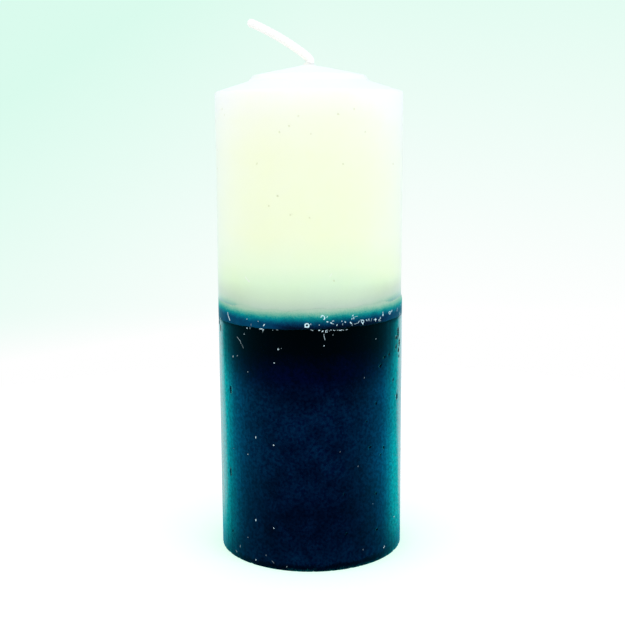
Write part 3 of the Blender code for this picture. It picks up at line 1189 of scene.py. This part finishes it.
def navy_material():
    wax = begin_wax("navy_wax", fray=2, size=7, grain=0.35)
    wall = ramp(
        wax.rise,
        (-74.6, 0.001, 0.13, 0.14),
        (-74, 0.0003, 0.03, 0.038),
        (-73.4, 0, 0.001, 0.008),
        (-72.6, 0, 0.0002, 0.004),
        (-71.6, 0.0002, 0.0058, 0.026),
        (-67, 0.0002, 0.0036, 0.019),
        (-62, 0.0002, 0.0026, 0.016),
        (-52, 0.0002, 0.0026, 0.016),
        (-40, 0.0002, 0.0048, 0.0235),
        (-28, 0.0002, 0.0052, 0.025),
        (-22, 0.0002, 0.0044, 0.021),
        (-15, 0.0001, 0.0004, 0.0115),
        (-7, 0, 0, 0.001),
        (0, 0, 0, 0),
    )
    upward = axes(node(wax.tree, "TexCoord").outputs["Normal"])["Z"]
    body = mixed(between(upward, -0.5, -0.8), wall, (0.0002, 0.003, 0.018))
    clouds = mixed(wax.mottle["Clouds"], (0.6, 0.5, 0.66), (1.4, 1.54, 1.34))
    fine = use(wax.tree, "Wax mottle", Size=0.95)["Clouds"]
    grain = mixed(fine, (0.36, 0.22, 0.62), (1.64, 1.78, 1.38))
    normal = bump(wax.mould["Height"], 0.05 * MM)
    facing = node(wax.tree, "LayerWeight", {"Blend": 0.5, "Normal": normal}).outputs["Facing"]
    # Painted sheen: teal toward grazing angles, and a grey-green painted reflection at the very edge.
    teal = mixed(between(facing, 0.36, 0.72), (0, 0.4, 0.84), (0, 0.95, 0.86))
    painted_edge_reflection = times(between(facing, 0.76, 0.86), between(wax.rise, -68, -54))
    sheen = times(painted_sheen_share(wax, facing), between(fine, 0, 1, 0.74, 1.26))
    return finish_wax(
        wax,
        mixed(sheen, tinted(tinted(body, clouds), grain), mixed(painted_edge_reflection, teal, (0.55, 0.78, 0.4))),
        pale=(0.72, 0.93, 1),
        # painted shade in the navy's hollows
        dark=(0, 0.0005, 0.002),
        roughness=plus(times(wax.mould["Mask"], 0.12), 0.22),
        Normal=normal,
        Specular_IOR_Level=0.0015,
        Coat_Weight=skin_gloss(wax, facing),
        Coat_Roughness=0.1,
        Sheen_Weight=0.6,
        Sheen_Roughness=0.35,
        Sheen_Tint=(0, 0.7, 1),
    )


def film_material():
    """The film's bands of colour climb toward its sides, where its foot gets painted sheen: lighter and
    more blue.
    """
    wax = begin_wax("seeped_wax", fray=1, size=2.2, grain=0.8)
    side = largest(between(wax.across, -4 * MM, -13 * MM), between(wax.across, 16 * MM, 26 * MM))
    spread = minus(
        wax.rise,
        between(wax.across, 2 * MM, 13 * MM, 0.14, 0.36),
        between(wax.across, -18 * MM, -27 * MM, 0, 0.7),
    )
    # Painted sheen at the sides: the foot is lifted toward teal there, and tinted more blue near the
    # seam.
    spread = largest(spread, times(side, 1.5))
    tone = use(wax.tree, "Joint colours", Rise=spread)["Color"]
    painted_sheen_blue = tinted(tone, mixed(side, UNTINTED, (1, 1.05, 1.15)))
    tone = mixed(between(wax.rise, 4, 2.6), tone, painted_sheen_blue)
    patches = mixed(wax.mottle["Clouds"], (0.78, 0.82, 0.86), (1.22, 1.2, 1.16))
    low = between(wax.rise, 4.6, 2.6)
    cloudy = mixed(low, tone, tinted(tone, patches))
    return finish_wax(
        wax,
        mixed(times(wax.mottle["Specks"], low, 0.3), cloudy, (0.02, 0.42, 0.48)),
        pale=(0.66, 0.94, 1),
        # painted shade in the film's hollows
        dark=(0, 0.006, 0.03),
        roughness=0.25,
        Normal=bump(wax.mould["Height"], 0.05 * MM),
        Specular_IOR_Level=0.0015,
        Coat_Weight=0.03,
        Coat_Roughness=0.15,
        Sheen_Weight=0.35,
        Sheen_Roughness=0.3,
        Sheen_Tint=(0, 0.93, 1),
    )


def ivory_material():
    """The ivory is paler toward +X. Its sides are darker and warmer by the foot, and cooler above:
    painted light.
    """
    wax = begin_wax("ivory_wax", fray=1, size=14, grain=0.5)
    paler = times(between(wax.across, 8 * MM, 27 * MM, 0, 3.2), between(wax.rise, 9.5, 14))
    # Painted at the sides: shade by the foot, darker and warmer, and a cool reflection above.
    sides = between(largest(wax.across, times(wax.across, -1)), 12 * MM, 28 * MM)
    painted_side_shade = times(sides, between(wax.rise, 15, 9, 0, 2.6))
    tone = use(wax.tree, "Joint colours", Rise=minus(plus(wax.rise, paler), painted_side_shade))["Color"]
    clouds = mixed(wax.mottle["Clouds"], (1, 1, 1.01), (1, 1, 0.975))
    cast = mixed(between(wax.rise, 12, 25), (1, 0.99, 0.87), (1, 1, 1.07))
    return finish_wax(
        wax,
        tinted(tinted(tone, clouds), mixed(sides, UNTINTED, cast)),
        pale=(0.95, 0.97, 0.92),
        # painted shade in the ivory's hollows
        dark=(0.56, 0.60, 0.30),
        roughness=plus(times(wax.mould["Mask"], 0.08), 0.40),
        Normal=bump(wax.mould["Height"], 0.02 * MM),
        Specular_IOR_Level=0.4,
        Subsurface_Weight=0.35,
        Subsurface_Radius=(1, 1, 0.75),
        Subsurface_Scale=2.5 * MM,
        Sheen_Weight=0.8,
        Sheen_Roughness=0.55,
        Sheen_Tint=(0.84, 0.97, 1),
    )


def cotton_material():
    """Plaited cotton under a thin coat of wax, a little darker in the grooves as painted shade."""
    made, tree, shader = blank_material("primed_cotton")
    fibre = noise(tree, (9000, 9000, 2500), 3, 0.6)
    # painted shade in the grooves
    shade = times(between(painted(tree, "groove"), 0.25, 1), 0.15)
    tone = mixed(shade, (0.985, 0.98, 0.965), (0.80, 0.81, 0.74))
    plug(
        shader,
        Base_Color=mixed(times(fibre, 0.08), tone, (0.80, 0.79, 0.72)),
        Roughness=between(fibre, 0.3, 0.7, 0.45, 0.65),
        Normal=bump(fibre, 0.03 * MM),
        Specular_IOR_Level=0.4,
    )
    return made


def steel_material():
    """Tinned sheet, turned and stamped, with a film of wax on it."""
    made, tree, shader = blank_material("tinned_steel")
    place = axes(own_place(tree))
    radius = power(plus(times(place["X"], place["X"]), times(place["Y"], place["Y"])), 0.5)
    around = node(tree, "CombineXYZ", {"X": times(radius, 9000)}).outputs[0]
    lines = node(tree, "TexNoise", {"Vector": around, "Scale": 1, "Detail": 3}).outputs["Fac"]
    smear = noise(tree, (320, 320, 320), 4, 0.6, 0.6)
    plug(
        shader,
        Base_Color=mixed(between(smear, 0.45, 0.75, 0, 0.6), (0.58, 0.59, 0.58), (0.42, 0.44, 0.45)),
        Metallic=1,
        Roughness=between(smear, 0.3, 0.75, 0.24, 0.5),
        Normal=bump(lines, 0.01 * MM),
    )
    return made


# Stage

FLOOR_RADIUS = 0.48
FLOOR_HOLE = 28.2 * MM
CAMERA_PLACE = Vector((0.72 * MM, -335.6 * MM, 132 * MM))
CAMERA_PITCH = radians(9.8)
CAMERA_ROLL = -0.0055
CAMERA_LENS = 62.37
LAMP_AIM = Vector((0, 0, 80 * MM))
MINT = (0.70, 0.965, 0.848)
WHITE = (1, 1, 1)


def make_floor():
    """A pale ring: white to the eye but for the candle's shadow, fading out, and clear from below.

    Its hole lies under the candle, and lets light reach the base when that is looked at from below.
    """
    mesh = bmesh.new()
    for radius in (FLOOR_HOLE, FLOOR_RADIUS):
        bmesh.ops.create_circle(mesh, segments=128, radius=radius)
    bmesh.ops.bridge_loops(mesh, edges=mesh.edges)
    bmesh.ops.recalc_face_normals(mesh, faces=mesh.faces)
    if next(iter(mesh.faces)).normal.z < 0:
        bmesh.ops.reverse_faces(mesh, faces=mesh.faces)
    in_scene("floor", mesh_of("floor", mesh, floor_material()))


def floor_material():
    """White where the eye sees it lit, a plain pale floor to other light, and clear from below."""
    made, tree, shader = blank_material("pale_floor")
    tree.nodes.remove(shader)
    away = node(tree, "VectorMath", {0: own_place(tree)}, operation="LENGTH").outputs["Value"]
    clear = node(tree, "BsdfTransparent").outputs[0]
    bare = node(tree, "BsdfDiffuse", {"Color": (0.85, 0.86, 0.86)}).outputs[0]
    lit = node(tree, "BsdfDiffuse", {"Color": (0.89, 0.33, 0.62)}).outputs[0]
    glow = node(tree, "Emission", {"Color": (0.24, 0.80, 0.50), "Strength": 1}).outputs[0]
    seen = node(tree, "AddShader", {0: lit, 1: glow}).outputs[0]
    fading = either(between(away, 0.19, 0.27), seen, clear)
    upper = either(node(tree, "LightPath").outputs["Is Camera Ray"], bare, fading)
    whole = either(node(tree, "NewGeometry").outputs["Backfacing"], upper, clear)
    put(tree.nodes["Material Output"].inputs["Surface"], whole)
    return made


def either(factor, first, second):
    """Two shaders mixed by a factor."""
    return node(factor.id_data, "MixShader", {0: factor, 1: first, 2: second}).outputs[0]


def make_world():
    """Even light from all round. The eye sees a wall that is mint above and turns white below."""
    world = bpy.data.worlds.new("studio")
    world.use_nodes = True
    bpy.context.scene.world = world
    tree = world.node_tree
    tree.nodes.clear()
    direction = axes(node(tree, "TexCoord").outputs["Generated"])
    left = times(smallest(direction["X"], 0), 1.75)
    below = between(direction["Z"], -0.155, -0.24, 0, 0.6)
    pale = plus(times(direction["Z"], -2.7), 0.53, left, below)
    wall = mixed(node(tree, "Clamp", {"Value": pale}).outputs[0], MINT, WHITE)
    rays = node(tree, "LightPath").outputs
    seen = largest(rays["Is Camera Ray"], rays["Is Transmission Ray"], rays["Is Glossy Ray"])
    backdrop = node(tree, "Background", {"Color": wall, "Strength": 1}).outputs[0]
    light = node(tree, "Background", {"Color": WHITE, "Strength": 0.955}).outputs[0]
    put(node(tree, "OutputWorld").inputs["Surface"], either(seen, light, backdrop))


def make_lamp(name, place, size, watts, colour):
    """A square soft box aimed at the middle of the candle, which neither the eye nor a mirror sees."""
    data = bpy.data.lights.new(name, "AREA")
    data.size = size
    data.energy = watts
    data.color = colour
    lamp = in_scene(name, data)
    lamp.location = place
    lamp.rotation_mode = "QUATERNION"
    lamp.rotation_quaternion = (LAMP_AIM - Vector(place)).to_track_quat("-Z", "Y")
    lamp.visible_camera = False
    lamp.visible_glossy = False


def make_camera():
    data = bpy.data.cameras.new("camera")
    data.lens = CAMERA_LENS
    data.clip_start = 10 * MM
    camera = in_scene("camera", data)
    turn = Matrix.Rotation(pi / 2 - CAMERA_PITCH, 4, "X") @ Matrix.Rotation(CAMERA_ROLL, 4, "Z")
    camera.matrix_world = Matrix.Translation(CAMERA_PLACE) @ turn
    bpy.context.scene.camera = camera


def make_stage():
    make_camera()
    make_floor()
    make_world()
    make_lamp("right_soft_box", (0.7, -0.5, 0.6), 0.6, 1.6, (0.88, 0.98, 1.22))
    make_lamp("left_soft_box", (-0.8, -0.3, 0.45), 0.6, 1, (0.95, 1, 1))
    bpy.context.scene.view_settings.view_transform = "Standard"


def make_candle():
    for make_group in (rise_group, mould_group, mottle_group, blemish_group, joint_colour_group):
        make_group()
    make_upper_wax(ivory_material())
    make_lower_wax(navy_material())
    make_film(film_material())
    make_wick(cotton_material())
    make_tab(steel_material())


make_stage()
make_candle()
